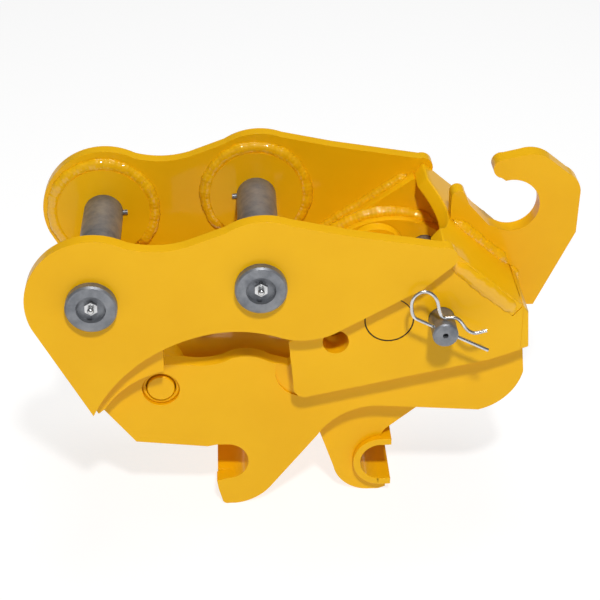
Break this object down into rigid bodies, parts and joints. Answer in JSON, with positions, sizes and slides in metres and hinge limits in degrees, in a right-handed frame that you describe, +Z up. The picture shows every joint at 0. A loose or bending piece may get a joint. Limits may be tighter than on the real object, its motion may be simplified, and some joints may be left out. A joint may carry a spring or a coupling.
{
  "type": "excavator quick coupler",
  "caption": "Yellow welded quick coupler with stick pins, a fixed jaw, a hydraulically swung hook, a lifting hook and a clipped safety pin.",
  "frame": {"origin": "on the axis of the front stick pin, midway between the ear plates", "axes": "+X from the front stick pin towards the lifting hook, +Y along the stick pins towards their keeper plates, +Z up with the coupler standing on its jaw tips and hook tips"},
  "size_m": [0.5934, 0.2704, 0.3955],
  "materials": {
    "yellow_enamel": "glossy thick enamel",
    "worn_steel": "dark, handled, lightly oxidised",
    "zinc_plate": "bright zinc plate",
    "machined_steel": "turned",
    "chromed_rod": "polished",
    "bronze_bush": "machined",
    "seal_rubber": "matt"
  },
  "bodies": {
    "frame": {"base_pin": "yellow_enamel", "base_pin_ring_far": "yellow_enamel", "base_pin_ring_near": "yellow_enamel", "belly_plate": "yellow_enamel", "cheek_plate_far": "yellow_enamel", "cheek_plate_near": "yellow_enamel", "cylinder_lug_far": "yellow_enamel", "cylinder_lug_near": "yellow_enamel", "ear_plate_far": "yellow_enamel", "ear_plate_near": "yellow_enamel", "fixed_jaw_saddle": "yellow_enamel", "front_boss_far": "yellow_enamel", "front_boss_near": "yellow_enamel", "front_cross_plate": "yellow_enamel", "front_keeper_plate": "yellow_enamel", "front_key_pin": "worn_steel", "front_lower_plate": "yellow_enamel", "front_spacer_far": "yellow_enamel", "front_spacer_near": "yellow_enamel", "front_stick_pin": "worn_steel", "grease_nipples": "zinc_plate", "hook_pivot_pin": "yellow_enamel", "jaw_back_plate": "yellow_enamel", "jaw_plate_far": "yellow_enamel", "jaw_plate_near": "yellow_enamel", "jaw_tip_plate": "yellow_enamel", "keeper_bolts": "zinc_plate", "lifting_hook": "yellow_enamel", "nose_plate": "yellow_enamel", "rear_boss_far": "yellow_enamel", "rear_boss_near": "yellow_enamel", "rear_cover_plate": "yellow_enamel", "rear_cross_plate": "yellow_enamel", "rear_keeper_plate": "yellow_enamel", "rear_key_pin": "worn_steel", "rear_stick_pin": "worn_steel"},
    "moving_hook": {"hook_plate_near": "yellow_enamel", "hook_plate_far": "yellow_enamel", "hook_saddle": "yellow_enamel", "hook_hub": "yellow_enamel", "hub_bush_near": "bronze_bush", "hub_bush_far": "bronze_bush", "hook_back_plate": "yellow_enamel", "hook_front_plate": "yellow_enamel", "rod_pin": "worn_steel", "rod_pin_collar_near": "machined_steel", "rod_pin_collar_far": "machined_steel"},
    "cylinder": {"cylinder_base": "yellow_enamel", "cylinder_barrel": "yellow_enamel", "port_boss_base_end": "yellow_enamel", "port_boss_rod_end": "yellow_enamel", "cylinder_gland": "yellow_enamel", "rod_wiper": "seal_rubber"},
    "cylinder_rod": {"piston": "machined_steel", "piston_seal": "seal_rubber", "piston_rod": "chromed_rod", "piston_nut": "zinc_plate", "rod_eye": "yellow_enamel"},
    "safety_pin": {"safety_pin": "worn_steel"},
    "r_clip": {"r_clip": "zinc_plate"}
  },
  "joints": [
    {"name": "hook_swing", "type": "hinge", "parent": "frame", "child": "moving_hook", "pos_m": [0.3105, 0, -0.0352], "axis": [0, -1, 0], "range_deg": [0, 25]},
    {"name": "cylinder_swing", "type": "hinge", "parent": "frame", "child": "cylinder", "pos_m": [0.065, 0, -0.128], "axis": [0, -1, 0], "range_deg": [0, 0.4841]},
    {"name": "rod_slide", "type": "slide", "parent": "cylinder", "child": "cylinder_rod", "axis": [0.9988, 0, -0.0489], "range_m": [0, 0.046]},
    {"name": "safety_pin_slide", "type": "slide", "parent": "frame", "child": "safety_pin", "axis": [0, 1, 0], "range_m": [0, 0.0075]},
    {"name": "r_clip_slide", "type": "slide", "parent": "safety_pin", "child": "r_clip", "axis": [-0.887, 0, 0.4617], "range_m": [0, 0.007]}
  ],
  "couplings": [
    {"joint": "cylinder_swing", "follows": "hook_swing", "ratio": 0.018983},
    {"joint": "rod_slide", "follows": "hook_swing", "m_per_rad": 0.10407}
  ]
}
